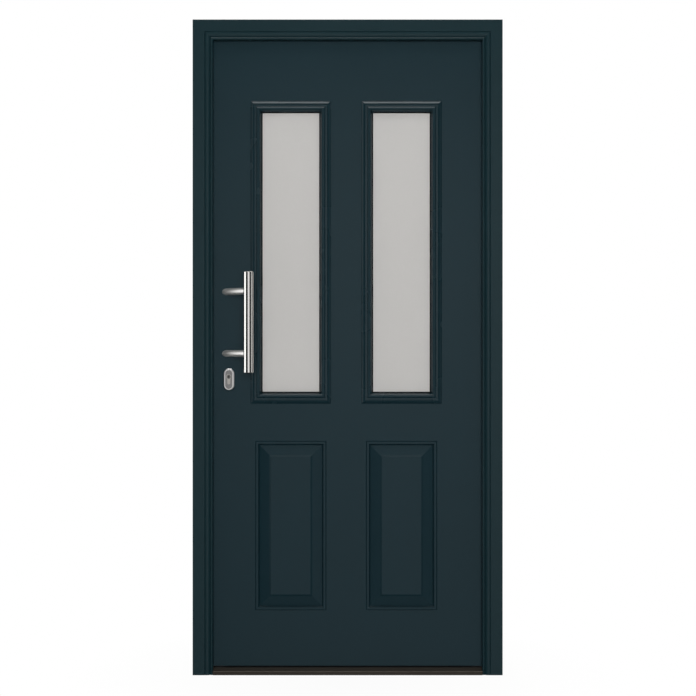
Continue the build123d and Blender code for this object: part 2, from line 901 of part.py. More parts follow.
for name, keep in (("top_rail", Keep.TOP), ("bottom_rail", Keep.BOTTOM)):
    with BuildPart() as rail:
        add(edge_frame.part)
        split(bisect_by=Plane.YZ.offset(-core_half), keep=Keep.TOP)
        split(bisect_by=Plane.YZ.offset(core_half), keep=Keep.BOTTOM)
        split(bisect_by=Plane.XY.offset((core_bottom + core_top) / 2), keep=keep)
    save(rail.part, name)


# Glazing: mitred mouldings on both faces, tapes, panes and spacers
def moulding_section(inwards, leg):
    """Draw a moulding's section: outer slope, quirk, flat, bead and a leg that holds the glass."""
    quirk_end = moulding_width - moulding_outer_width
    flat_start = quirk_end - moulding_quirk_width
    bead_start = flat_start - moulding_flat_width
    bead_end = bead_start - moulding_bead_width
    seat = glass_bite + glass_play
    outer_middle = ((moulding_width + quirk_end) / 2, moulding_outer_height / 2 + moulding_outer_bulge)
    bead_middle = ((bead_start + bead_end) / 2, moulding_bead_height)

    def at(out, proud):
        return (out, -inwards * proud)

    with BuildLine() as outline:
        ThreePointArc(at(moulding_width, 0), at(*outer_middle), at(quirk_end, moulding_outer_height))
        Polyline(
            at(quirk_end, moulding_outer_height),
            at(flat_start, moulding_flat_height),
            at(bead_start, moulding_flat_height),
        )
        ThreePointArc(
            at(bead_start, moulding_flat_height), at(*bead_middle), at(bead_end, moulding_bead_foot)
        )
        Polyline(
            at(bead_end, moulding_bead_foot),
            at(gasket_show, -moulding_lip_depth),
            at(gasket_show, -leg),
            at(glass_bite, -leg),
            at(seat - fit_gap, 0),
            at(moulding_width, 0),
        )
    make_face(outline.edges())


moulding_leg = pane_places_y[0] - tape_thickness - leaf_outer_y
for centre_x, side_name in zip(field_centres_x, ("left", "right")):
    for face_y, inwards, face_name in ((leaf_outer_y, 1, "outer"), (leaf_inner_y, -1, "inner")):
        with BuildPart() as moulding:
            with BuildSketch(face_section_plane(centre_x, sight_centre_z - sight_height / 2, face_y)):
                moulding_section(inwards, moulding_leg)
            sweep(
                path=face_rectangle(centre_x, sight_centre_z, sight_width, sight_height, face_y),
                transition=Transition.RIGHT,
            )
        save(moulding.part, f"{side_name}_{face_name}_moulding")


def glazing_rectangle(centre_x, low_y, high_y, width, height, hole=0.0):
    """Add a pane, or a frame of the given bar width, between two depths."""
    block(
        (centre_x - width / 2, low_y, sight_centre_z - height / 2),
        (centre_x + width / 2, high_y, sight_centre_z + height / 2),
    )
    if hole:
        block(
            (centre_x - width / 2 + hole, low_y - cut_overrun, sight_centre_z - height / 2 + hole),
            (centre_x + width / 2 - hole, high_y + cut_overrun, sight_centre_z + height / 2 - hole),
            mode=Mode.SUBTRACT,
        )


for centre_x, side_name in zip(field_centres_x, ("left", "right")):
    for place_y, face_name in ((pane_places_y[0], "outer"), (pane_places_y[-1], "inner")):
        with BuildPart() as pane:
            glazing_rectangle(centre_x, place_y, place_y + pane_thickness, pane_width, pane_height)
        save(pane.part, f"{side_name}_{face_name}_pane")

with BuildPart() as middle_panes:
    for centre_x in field_centres_x:
        glazing_rectangle(
            centre_x, pane_places_y[1], pane_places_y[1] + pane_thickness, pane_width, pane_height
        )
save(middle_panes.part, "middle_panes")

with BuildPart() as pane_spacers:
    for centre_x in field_centres_x:
        for place_y in pane_places_y[:-1]:
            low_y = place_y + pane_thickness
            glazing_rectangle(
                centre_x, low_y, low_y + pane_cavity, pane_width, pane_height, hole=spacer_width
            )
save(pane_spacers.part, "pane_spacers")

with BuildPart() as glazing_tapes:
    for centre_x in field_centres_x:
        for low_y in (pane_places_y[0] - tape_thickness, pane_places_y[-1] + pane_thickness):
            glazing_rectangle(
                centre_x, low_y, low_y + tape_thickness, pane_width, pane_height, hole=glass_bite
            )
save(glazing_tapes.part, "glazing_tapes")

# Lock: faceplate, cases, bolts, rods, follower and spindle
def cut_bolt_ways(low_x, high_x):
    """Cut the ways of the bolts and the latch through a plate between two x places."""
    for bolt in main_openings + side_openings:
        cut_strike_opening(*bolt, low_x, high_x, slide_gap)


with BuildPart() as faceplate:
    block(
        (edge_x, lock_y - faceplate_width / 2, faceplate_bottom),
        (edge_x + faceplate_thickness, lock_y + faceplate_width / 2, faceplate_top),
    )
    cut_bolt_ways(edge_x - cut_overrun, edge_x + faceplate_thickness + cut_overrun)
save(faceplate.part, "faceplate")


def lock_box(back_x, low_z, high_z):
    """Add a hollow lock case between two heights."""
    block((case_front_x, lock_y - case_half, low_z), (back_x, lock_y + case_half, high_z))
    block(
        (case_front_x + case_wall, lock_y - case_half + case_wall, low_z + case_wall),
        (back_x - case_wall, lock_y + case_half - case_wall, high_z - case_wall),
        mode=Mode.SUBTRACT,
    )


with BuildPart() as lock_case:
    lock_box(case_back_x, case_bottom, case_top)
    cut_bolt_ways(case_front_x - cut_overrun, case_front_x + case_wall + cut_overrun)
    cut_cylinder_room(lock_y - case_half - cut_overrun, lock_y + case_half + cut_overrun)
    cut_square_hole(lock_x, follower_z, lock_y, lock_y + case_half + cut_overrun, spindle_square)
save(lock_case.part, "lock_case")

with BuildPart() as bolt_cases:
    for bolt_z in (lower_bolt_z, upper_bolt_z):
        lock_box(
            case_front_x + bolt_case_depth, bolt_z - bolt_case_height / 2, bolt_z + bolt_case_height / 2
        )
    cut_bolt_ways(case_front_x - cut_overrun, case_front_x + case_wall + cut_overrun)
save(bolt_cases.part, "bolt_cases")

def bolt_bar(bolt_z, height, length):
    """Add a drawn-back bolt, whose nose lies just inside the faceplate."""
    block(
        (edge_x + bolt_setback, lock_y - bolt_thickness / 2, bolt_z - height / 2),
        (edge_x + bolt_setback + length, lock_y + bolt_thickness / 2, bolt_z + height / 2),
    )


with BuildPart() as main_deadbolt:
    bolt_bar(deadbolt_z, deadbolt_height, deadbolt_length)
    chamfer(main_deadbolt.faces().sort_by(Axis.X)[0].edges(), bolt_setback)
save(main_deadbolt.part, "main_deadbolt")

with BuildPart() as side_bolts:
    for bolt_z in (lower_bolt_z, upper_bolt_z):
        bolt_bar(bolt_z, side_bolt_height, side_bolt_length)
    chamfer(side_bolts.faces().group_by(Axis.X)[0].edges(), bolt_setback)
save(side_bolts.part, "side_bolts")

# Latch: a bevelled head outside the faceplate, and a tail with the lug that the follower pulls
lug_x = lock_x + follower_arm_width / 2 + follower_play
tail_x = edge_x - latch_throw + latch_head_length
with BuildPart() as latch_bolt:
    with BuildSketch(Plane.XY.offset(latch_z - latch_height / 2)):
        with BuildLine():
            Polyline(
                (tail_x, lock_y - latch_thickness / 2),
                (edge_x, lock_y - latch_thickness / 2),
                (edge_x - latch_throw, lock_y - latch_thickness / 2 + latch_bevel),
                (edge_x - latch_throw, lock_y + latch_thickness / 2),
                (tail_x, lock_y + latch_thickness / 2),
                close=True,
            )
        make_face()
    extrude(amount=latch_height)
    block(
        (tail_x, lock_y - latch_tail_thickness / 2, latch_z - latch_tail_height / 2),
        (tail_x + latch_tail_length, lock_y + latch_tail_thickness / 2, latch_z + latch_tail_height / 2),
    )
    block(
        (
            lug_x,
            lock_y - latch_tail_thickness / 2,
            latch_z - latch_tail_height / 2 - latch_lug_drop,
        ),
        (lug_x + latch_lug_length, lock_y + latch_tail_thickness / 2, latch_z),
    )
save(latch_bolt.part, "latch_bolt")

follower_half = case_half - case_wall - fit_gap
follower_plane = Plane(
    origin=(lock_x, lock_y + follower_half, follower_z), x_dir=(1, 0, 0), z_dir=(0, -1, 0)
)
with BuildPart() as follower:
    with BuildSketch(follower_plane):
        Circle(follower_diameter / 2)
        Rectangle(follower_arm_width, follower_arm_reach, align=(Align.CENTER, Align.MIN))
        Rectangle(
            spindle_square + 2 * turn_gap, spindle_square + 2 * turn_gap, mode=Mode.SUBTRACT
        )
    extrude(amount=2 * follower_half)
save(follower.part, "follower")

lever_start_y = leaf_inner_y + fit_gap
with BuildPart() as spindle:
    block(
        (lock_x - spindle_square / 2, lock_y - follower_half, follower_z - spindle_square / 2),
        (lock_x + spindle_square / 2, lever_start_y + spindle_grip, follower_z + spindle_square / 2),
    )
save(spindle.part, "spindle")

rod_clear = 2 * slide_gap
with BuildPart() as drive_rods:
    for low_z, high_z in (
        (
            lower_bolt_z + side_bolt_height / 2 + rod_clear,
            deadbolt_z - deadbolt_height / 2 - rod_travel - rod_clear,
        ),
        (
            latch_z + latch_height / 2 + rod_clear,
            upper_bolt_z - side_bolt_height / 2 - rod_travel - rod_clear,
        ),
    ):
        block(
            (rod_x, lock_y - rod_width / 2, low_z),
            (rod_x + rod_thickness, lock_y + rod_width / 2, high_z),
        )
save(drive_rods.part, "drive_rods")

# Profile cylinder: body, two plugs and the cam between them
cylinder_low_y = leaf_outer_y - escutcheon_thickness - cylinder_proud
cylinder_high_y = leaf_inner_y + plate_thickness + cylinder_proud
cam_half = cam_width / 2
slot_half = cam_half + turn_gap
with BuildPart() as cylinder_body:
    with BuildSketch(
        Plane(origin=(lock_x, cylinder_high_y, cylinder_z), x_dir=(1, 0, 0), z_dir=(0, -1, 0))
    ):
        cylinder_profile(0)
    extrude(amount=cylinder_high_y - cylinder_low_y)
    cut_round_hole(
        lock_x, cylinder_z, cylinder_low_y - cut_overrun, cylinder_high_y + cut_overrun, plug_diameter
    )
    block(
        (lock_x - cylinder_head, lock_y - slot_half, cylinder_z - cam_reach - cam_room),
        (lock_x + cylinder_head, lock_y + slot_half, cylinder_z + cylinder_head),
        mode=Mode.SUBTRACT,
    )
save(cylinder_body.part, "cylinder_body")

for name, low_y, high_y, mouth in (
    ("outer_plug", cylinder_low_y, lock_y - slot_half, -1),
    ("inner_plug", lock_y + slot_half, cylinder_high_y, 1),
):
    with BuildPart() as plug:
        with Locations((lock_x, (low_y + high_y) / 2, cylinder_z)):
            Cylinder(plug_diameter / 2 - turn_gap, high_y - low_y, rotation=(90, 0, 0))
        mouth_y = low_y if mouth < 0 else high_y
        block(
            (
                lock_x - keyway_width / 2,
                min(mouth_y, mouth_y - mouth * keyway_depth),
                cylinder_z - keyway_height / 2,
            ),
            (
                lock_x + keyway_width / 2,
                max(mouth_y, mouth_y - mouth * keyway_depth),
                cylinder_z + keyway_height / 2,
            ),
            mode=Mode.SUBTRACT,
        )
    save(plug.part, name)

cam_plane = Plane(origin=(lock_x, lock_y + cam_half, cylinder_z), x_dir=(1, 0, 0), z_dir=(0, -1, 0))
with BuildPart() as cylinder_cam:
    with BuildSketch(cam_plane):
        Circle(cam_ring / 2)
        Rectangle(cam_tooth, cam_reach, align=(Align.CENTER, Align.MAX))
        Circle(cam_reach, mode=Mode.INTERSECT)
    extrude(amount=cam_width)
save(cylinder_cam.part, "cylinder_cam")


# Outside escutcheon, an oval plate bevelled round its front
with BuildPart() as outside_escutcheon:
    with BuildSketch(Plane(origin=(lock_x, leaf_outer_y, escutcheon_z), x_dir=(0, 0, 1), z_dir=(0, -1, 0))):
        SlotOverall(escutcheon_height, escutcheon_width)
    extrude(amount=escutcheon_thickness)
    chamfer(outside_escutcheon.faces().sort_by(Axis.Y)[0].edges(), escutcheon_bevel)
    cut_cylinder_hole(
        leaf_outer_y - escutcheon_thickness - cut_overrun, leaf_outer_y + cut_overrun, cylinder_room
    )
save(outside_escutcheon.part, "outside_escutcheon")

# Inside plate, one long plate for the lever and the cylinder
with BuildPart() as inside_plate:
    block(
        (lock_x - plate_width / 2, leaf_inner_y, cylinder_z - plate_end),
        (lock_x + plate_width / 2, leaf_inner_y + plate_thickness, follower_z + plate_end),
    )
    chamfer(inside_plate.edges().filter_by(Axis.Y), plate_corner)
    chamfer(inside_plate.faces().sort_by(Axis.Y)[-1].edges(), plate_bevel)
    cut_cylinder_hole(
        leaf_inner_y - cut_overrun, leaf_inner_y + plate_thickness + cut_overrun, cylinder_room
    )
    cut_round_hole(
        lock_x,
        follower_z,
        leaf_inner_y - cut_overrun,
        leaf_inner_y + plate_thickness + cut_overrun,
        lever_hole,
    )
save(inside_plate.part, "inside_plate")

# Lever: a round neck and grip mitred together, bored square for the spindle
lever_grip_y = leaf_inner_y + lever_stand_off
with BuildPart() as lever_handle:
    with BuildLine() as lever_path:
        Polyline(
            (lock_x, lever_start_y, follower_z),
            (lock_x, lever_grip_y, follower_z),
            (lock_x + lever_length, lever_grip_y, follower_z),
        )
    with BuildSketch(Plane(origin=(lock_x, lever_start_y, follower_z), x_dir=(1, 0, 0), z_dir=(0, 1, 0))):
        Circle(lever_diameter / 2)
    sweep(path=lever_path.wires()[0], transition=Transition.RIGHT)
    chamfer(lever_handle.faces().sort_by(Axis.X)[-1].edges(), lever_tip_bevel)
    spindle_room = spindle_square / 2 + turn_gap
    block(
        (lock_x - spindle_room, lever_start_y - cut_overrun, follower_z - spindle_room),
        (lock_x + spindle_room, lever_start_y + spindle_grip + turn_gap, follower_z + spindle_room),
        mode=Mode.SUBTRACT,
    )
save(lever_handle.part, "lever_handle")

# Outside handle: a closed bar on two slanting posts
with BuildPart() as pull_bar:
    with Locations((bar_x, bar_y, bar_centre_z)):
        Cylinder(bar_diameter / 2, bar_length)
    chamfer(pull_bar.edges().filter_by(GeomType.CIRCLE), bar_end_bevel)
save(pull_bar.part, "pull_bar")

post_direction = (sin(radians(post_angle)), -cos(radians(post_angle)), 0)
post_reach = bar_projection / cos(radians(post_angle))
with BuildPart() as pull_posts:
    for post_z in post_places_z:
        post_plane = Plane(
            origin=(post_foot_x, leaf_outer_y, post_z), x_dir=(0, 0, 1), z_dir=post_direction
        )
        with BuildSketch(post_plane.offset(-post_diameter)):
            Circle(post_diameter / 2)
        extrude(amount=post_reach + post_diameter)
    split(bisect_by=Plane.XZ.offset(-leaf_outer_y), keep=Keep.TOP)
    with Locations((bar_x, bar_y, bar_centre_z)):
        Cylinder(bar_diameter / 2 + turn_gap, bar_length, mode=Mode.SUBTRACT)
save(pull_posts.part, "pull_posts")

with BuildPart() as pull_studs:
    for post_z in post_places_z:
        with Locations((post_foot_x, leaf_outer_y + stud_depth / 2, post_z)):
            Cylinder(stud_diameter / 2, stud_depth, rotation=(90, 0, 0))
save(pull_studs.part, "pull_studs")


# Hinges: the frame part's lower knuckle carries the pin, and the leaf part's upper knuckle turns on it
def hinge_plane(z):
    """Section plane of a hinge, looking down on its axis."""
    return Plane(origin=(hinge_x, hinge_y, z), x_dir=(1, 0, 0), z_dir=(0, 0, 1))


frame_plate_x = half_width - profile_edge_radius - hinge_frame_plate_width
knuckle_height = (hinge_height - hinge_slack) / 2
with BuildPart() as hinge_frame_parts:
    for place_z in hinge_places_z:
        low_z = place_z - hinge_height / 2
        block(
            (frame_plate_x, inside_y, low_z),
            (frame_plate_x + hinge_frame_plate_width, inside_y + hinge_frame_plate, low_z + hinge_height),
        )
        with BuildSketch(hinge_plane(low_z)):
            Circle(hinge_knuckle / 2)
            Rectangle(hinge_frame_neck, hinge_y - inside_y, align=(Align.CENTER, Align.MAX))
        extrude(amount=knuckle_height)
save(hinge_frame_parts.part, "hinge_frame_parts")

with BuildPart() as hinge_leaf_parts:
    for place_z in hinge_places_z:
        high_z = place_z + hinge_height / 2
        with BuildSketch(hinge_plane(high_z)):
            Circle(hinge_knuckle / 2)
            with Locations((0, -hinge_knuckle / 2)):
                Rectangle(
                    hinge_knuckle + hinge_edge_gap, hinge_leaf_plate, align=(Align.MAX, Align.MIN)
                )
            Circle(hinge_pin_diameter / 2 + turn_gap, mode=Mode.SUBTRACT)
        extrude(amount=-knuckle_height)
        with BuildSketch(Plane.XZ.offset(-leaf_inner_y)):
            with Locations((flange_half - hinge_leaf_plate_length / 2, place_z)):
                plate = Rectangle(hinge_leaf_plate_length, hinge_height)
            chamfer(plate.vertices().group_by(Axis.X)[0], hinge_corner)
        extrude(amount=-hinge_leaf_plate)
save(hinge_leaf_parts.part, "hinge_leaf_parts")

with BuildPart() as hinge_pins:
    for place_z in hinge_places_z:
        with BuildSketch(hinge_plane(place_z - hinge_height / 2 + knuckle_height)):
            Circle(hinge_pin_diameter / 2)
        extrude(amount=hinge_height - knuckle_height)
save(hinge_pins.part, "hinge_pins")
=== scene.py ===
"""Looks of the panelled front door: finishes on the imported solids, small fittings and a plain studio.

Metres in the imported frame: +Z is up, -Y is the outside of the house and +X is the hinge side.
"""

import logging
import math
from collections.abc import Callable, Sequence
from dataclasses import dataclass, field
from enum import Enum
from typing import Any

import bmesh
import bpy
from mathutils import Matrix, Vector


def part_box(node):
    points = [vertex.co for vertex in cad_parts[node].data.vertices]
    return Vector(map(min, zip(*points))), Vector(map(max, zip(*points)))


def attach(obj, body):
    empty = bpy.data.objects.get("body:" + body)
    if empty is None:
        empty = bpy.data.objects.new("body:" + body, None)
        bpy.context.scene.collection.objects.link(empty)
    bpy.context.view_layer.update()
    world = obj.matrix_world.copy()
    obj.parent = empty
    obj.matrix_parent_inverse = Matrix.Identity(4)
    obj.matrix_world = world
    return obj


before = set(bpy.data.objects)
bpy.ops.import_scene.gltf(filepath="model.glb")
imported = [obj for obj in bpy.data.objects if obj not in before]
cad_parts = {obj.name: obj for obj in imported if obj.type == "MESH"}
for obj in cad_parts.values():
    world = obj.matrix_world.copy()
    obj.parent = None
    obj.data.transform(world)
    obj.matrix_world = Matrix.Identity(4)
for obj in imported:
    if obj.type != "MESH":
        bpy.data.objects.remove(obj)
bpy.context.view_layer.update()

MM = 0.001
MERGE_DISTANCE = 0.001 * MM
SMOOTH_ANGLE = math.radians(35)
LOG = logging.getLogger("front_door")

# A pattern's tone and height, a ring's radius by angle, and rings as pairs of height and radius
Drawing = tuple[bpy.types.NodeSocket, bpy.types.NodeSocket]
Outline = Callable[[float], float]
Rings = Sequence[tuple[float, Outline]]

# Sockets of the Mix node, whose inputs share their names
MIX_FACTOR = 0
FLOAT_A, FLOAT_B, FLOAT_RESULT = 2, 3, 0
COLOUR_A, COLOUR_B, COLOUR_RESULT = 6, 7, 2


def linear(hex_colour: str) -> tuple[float, float, float, float]:
    """Turn an sRGB hex colour to linear light.

    Args:
        hex_colour: A value such as "#25323a".

    Returns:
        Red, green and blue in linear light, and an alpha of one.
    """
    channels = [int(hex_colour[i:i + 2], 16) / 255 for i in (1, 3, 5)]
    red, green, blue = [c / 12.92 if c <= 0.04045 else ((c + 0.055) / 1.055) ** 2.4 for c in channels]
    return red, green, blue, 1.0


def per_metre(size_mm: float) -> float:
    """Return the texture scale at which one cell of a pattern measures size_mm."""
    return 1 / (size_mm * MM)


def add_node(
    tree: bpy.types.NodeTree,
    kind: str,
    settings: dict[str | int, Any] | None = None,
    links: dict[str | int, bpy.types.NodeSocket] | None = None,
) -> bpy.types.Node:
    """Add a node with its settings and its incoming links.

    Args:
        tree: The node tree that gets the node.
        kind: The node's type name.
        settings: Values by input name or number, or by the node's own property.
        links: Output sockets by the input name or number that they feed.

    Returns:
        The new node.
    """
    node = tree.nodes.new(kind)
    for name, value in (settings or {}).items():
        if isinstance(name, int) or name in node.inputs:
            node.inputs[name].default_value = value
        else:
            setattr(node, name, value)
    for name, source in (links or {}).items():
        tree.links.new(source, node.inputs[name])
    return node


class Grain(Enum):
    """Direction that a ground, drawn or sawn surface's lines run in."""

    ALONG_X = (0.02, 1.0, 1.0)
    ALONG_Z = (1.0, 1.0, 0.02)


@dataclass(frozen=True)
class Finish:
    """A surface: two tones and two roughnesses that a pattern mixes, and the pattern's fine relief."""

    name: str
    colour: str
    shade: str
    roughness: tuple[float, float]
    metallic: float = 0.0
    relief_mm: float = 0.02
    relief_strength: float = 0.15
    sockets: dict[str, float] = field(default_factory=dict)

    def pattern(self, tree: bpy.types.NodeTree, place: bpy.types.NodeSocket) -> Drawing:
        """Draw the finish's pattern.

        Args:
            tree: The material's node tree.
            place: Object coordinates.

        Returns:
            The sockets that give the mix of the two tones, and the height of the relief.
        """
        raise NotImplementedError

    def material(self) -> bpy.types.Material:
        """Return the finish's material, made once and then shared."""
        if self.name in bpy.data.materials:
            return bpy.data.materials[self.name]
        material = bpy.data.materials.new(self.name)
        material.use_nodes = True
        tree = material.node_tree
        tree.nodes.clear()
        place = add_node(tree, "ShaderNodeTexCoord").outputs["Object"]
        tone, height = self.pattern(tree, place)
        colour = add_node(
            tree,
            "ShaderNodeMix",
            {"data_type": "RGBA", COLOUR_A: linear(self.colour), COLOUR_B: linear(self.shade)},
            {MIX_FACTOR: tone},
        )
        low, high = self.roughness
        roughness = add_node(tree, "ShaderNodeMapRange", {"To Min": low, "To Max": high}, {"Value": tone})
        relief = add_node(
            tree,
            "ShaderNodeBump",
            {"Strength": self.relief_strength, "Distance": self.relief_mm * MM},
            {"Height": height},
        )
        shader = add_node(
            tree,
            "ShaderNodeBsdfPrincipled",
            {"Metallic": self.metallic, **self.sockets},
            {
                "Base Color": colour.outputs[COLOUR_RESULT],
                "Roughness": roughness.outputs["Result"],
                "Normal": relief.outputs["Normal"],
            },
        )
        add_node(tree, "ShaderNodeOutputMaterial", links={"Surface": shader.outputs["BSDF"]})
        return material


@dataclass(frozen=True)
class SprayedCoat(Finish):
    """Paint or powder coat: slow clouds in the film's thickness and a fine orange peel."""

    cloud_mm: float = 260.0
    peel_mm: float = 2.5

    def pattern(self, tree: bpy.types.NodeTree, place: bpy.types.NodeSocket) -> Drawing:
        """Draw slow clouds over a fine peel; see Finish.pattern."""
        cloud = add_node(
            tree,
            "ShaderNodeTexNoise",
            {"Scale": per_metre(self.cloud_mm), "Detail": 3.0},
            {"Vector": place},
        )
        peel = add_node(
            tree,
            "ShaderNodeTexNoise",
            {"Scale": per_metre(self.peel_mm), "Detail": 2.0},
            {"Vector": place},
        )
        return cloud.outputs[0], peel.outputs[0]


@dataclass(frozen=True)
class GrittyStuff(Finish):
    """Blasted glass, filled plastic or rubber: grit that shows in the tone and the relief alike."""

    grit_mm: float = 3.0
    grit_detail: float = 6.0

    def pattern(self, tree: bpy.types.NodeTree, place: bpy.types.NodeSocket) -> Drawing:
        """Draw the grit; see Finish.pattern."""
        grit = add_node(
            tree,
            "ShaderNodeTexNoise",
            {"Scale": per_metre(self.grit_mm), "Detail": self.grit_detail},
            {"Vector": place},
        )
        return grit.outputs[0], grit.outputs[0]


@dataclass(frozen=True)
class LinedStuff(Finish):
    """Ground steel, drawn aluminium or sawn timber: fine lines that run one way."""

    grain: Grain = Grain.ALONG_Z
    line_mm: float = 1.5
    warp: float = 0.0

    def pattern(self, tree: bpy.types.NodeTree, place: bpy.types.NodeSocket) -> Drawing:
        """Draw lines by stretching noise along the grain; see Finish.pattern."""
        stretched = add_node(tree, "ShaderNodeMapping", {"Scale": self.grain.value}, {"Vector": place})
        lines = add_node(
            tree,
            "ShaderNodeTexNoise",
            {"Scale": per_metre(self.line_mm), "Detail": 5.0, "Distortion": self.warp},
            {"Vector": stretched.outputs["Vector"]},
        )
        return lines.outputs[0], lines.outputs[0]


@dataclass(frozen=True)
class CellularStuff(Finish):
    """Zinc spangle or foam: cells with a tone of their own."""

    cell_mm: float = 5.0

    def pattern(self, tree: bpy.types.NodeTree, place: bpy.types.NodeSocket) -> Drawing:
        """Draw the cells; see Finish.pattern."""
        scale = per_metre(self.cell_mm)
        cells = add_node(tree, "ShaderNodeTexVoronoi", {"Scale": scale}, {"Vector": place})
        tone = add_node(tree, "ShaderNodeRGBToBW", links={"Color": cells.outputs["Color"]})
        return tone.outputs["Val"], cells.outputs["Distance"]


# Polyester powder coat on pressed steel: dark blue-grey, silk matt, with a barely seen orange peel
LEAF_COAT = SprayedCoat(
    "powder_coat_on_steel", "#0f2329", "#11262d", (0.3, 0.36), sockets={"Specular IOR Level": 0.16}
)
# The same powder coat on drawn aluminium, a little greener and more even
FRAME_COAT = SprayedCoat(
    "powder_coat_on_aluminium", "#0e2328", "#10262b", (0.3, 0.36), sockets={"Specular IOR Level": 0.16}
)
# Lacquer on the glazing mouldings: the leaf's colour, a little glossier, so the beads catch light
MOULDING_LACQUER = SprayedCoat(
    "lacquer_on_mouldings",
    "#0f2329",
    "#11262d",
    (0.24, 0.3),
    peel_mm=3.0,
    sockets={"Specular IOR Level": 0.2},
)
# Float glass blasted with fine sand: pale and even, lets light through but no picture.
# The real grit of 0.2 mm is drawn at 3 mm, as coarse as it needs to be to show.
BLASTED_GLASS = GrittyStuff(
    "blasted_glass",
    "#c5c3c1",
    "#cbc9c7",
    (0.55, 0.65),
    relief_strength=0.1,
    sockets={"IOR": 1.52, "Transmission Weight": 0.25},
)
# Float glass: clear, faintly green, with the slow wave that rolling leaves
FLOAT_GLASS = SprayedCoat(
    "float_glass",
    "#eef4f1",
    "#e6efeb",
    (0.01, 0.03),
    relief_strength=0.003,
    cloud_mm=180.0,
    peel_mm=120.0,
    sockets={"IOR": 1.52, "Transmission Weight": 1.0},
)
# Stainless steel, ground lengthwise and polished: sharp bright and dark lines along the bar.
# The real grinding lines of 0.05 mm are drawn at 0.8 mm, as coarse as they need to be to show, here and in
# the two steels below.
UPRIGHT_STAINLESS = LinedStuff(
    "ground_stainless_upright",
    "#e4e3e0",
    "#d8d7d4",
    (0.08, 0.12),
    metallic=1.0,
    relief_mm=0.01,
    relief_strength=0.02,
    line_mm=0.8,
)
# The same steel, ground crosswise and left satin: one soft highlight along a post or a lever
LEVEL_STAINLESS = LinedStuff(
    "ground_stainless_level",
    "#e4e3e0",
    "#d8d7d4",
    (0.32, 0.38),
    metallic=0.8,
    relief_mm=0.01,
    relief_strength=0.02,
    grain=Grain.ALONG_X,
    line_mm=0.8,
)
# Stainless strip with a satin face: the same lines, but dull enough to mirror nothing
SATIN_STAINLESS = LinedStuff(
    "satin_stainless_upright",
    "#dcdbd8",
    "#cfcecb",
    (0.38, 0.46),
    metallic=1.0,
    relief_mm=0.01,
    relief_strength=0.02,
    line_mm=0.8,
)
# Stainless plate blasted with glass beads: an even pale grey with no lines
BLASTED_STAINLESS = GrittyStuff(
    "bead_blasted_stainless", "#ecebea", "#e0dfde", (0.3, 0.36), metallic=1.0, grit_mm=2.0
)
# Hardened steel of the guard plate: a darker, duller grey than the stainless round it
HARDENED_STEEL = GrittyStuff("hardened_steel", "#a6a5a5", "#989797", (0.42, 0.5), metallic=1.0, grit_mm=2.0)
# Steel with zinc plate: grey with a blue cast and a spangle of dull and bright patches
ZINC_PLATE = CellularStuff(
    "zinc_plated_steel",
    "#b4b7bb",
    "#9da1a6",
    (0.4, 0.5),
    metallic=1.0,
    relief_mm=0.01,
    relief_strength=0.05,
    cell_mm=6.0,
)
# Brass with nickel plate, turned and polished: warm grey
NICKEL_PLATE = GrittyStuff(
    "nickel_plated_brass",
    "#cfccc7",
    "#c3c0bb",
    (0.38, 0.46),
    metallic=1.0,
    relief_mm=0.01,
    relief_strength=0.05,
    grit_mm=2.0,
)
# Brass with black nickel plate: the plugs' faces, darker than the body round them
BLACK_NICKEL = GrittyStuff(
    "black_nickel_on_brass",
    "#8a8987",
    "#7e7d7b",
    (0.42, 0.5),
    metallic=1.0,
    relief_mm=0.01,
    relief_strength=0.05,
    grit_mm=2.0,
)
# Drawn aluminium, anodised dark bronze: a dull brown sheen with die lines along its length
BRONZE_ANODISED = LinedStuff(
    "bronze_anodised_aluminium",
    "#3c3731",
    "#332f29",
    (0.4, 0.5),
    metallic=0.75,
    grain=Grain.ALONG_X,
    line_mm=2.0,
)
# Polyamide filled with glass fibre: black, dull, with a pale speckle of fibre ends
FILLED_NYLON = GrittyStuff("glass_filled_polyamide", "#15151a", "#232321", (0.5, 0.7), grit_mm=1.2)
# Extruded rubber: matt black with a faint bloom
SEAL_RUBBER = GrittyStuff(
    "extruded_rubber", "#090b0c", "#111414", (0.6, 0.8), grit_mm=4.0, sockets={"Specular IOR Level": 0.1}
)
# Laminated spruce in the leaf's edges, stained dark: the grain runs along each bar
UPRIGHT_TIMBER = LinedStuff(
    "stained_spruce_upright", "#2b2f30", "#1d2325", (0.5, 0.65), relief_mm=0.1, line_mm=6.0, warp=0.4
)
LEVEL_TIMBER = LinedStuff(
    "stained_spruce_level",
    "#2b2f30",
    "#1d2325",
    (0.5, 0.65),
    relief_mm=0.1,
    grain=Grain.ALONG_X,
    line_mm=6.0,
    warp=0.4,
)
# Rigid polyurethane foam: pale yellow with small open cells
CORE_FOAM = CellularStuff("polyurethane_foam", "#d8c68f", "#c4b079", (0.8, 0.9), relief_mm=0.4, cell_mm=1.5)


def dress(finish: Finish, *nodes: str) -> None:
    """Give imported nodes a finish.

    Args:
        finish: The finish that they get.
        nodes: The nodes' names.
    """
    for node in nodes:
        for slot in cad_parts[node].material_slots:
            slot.material = finish.material()
        LOG.info("%s: %s", node, finish.name)


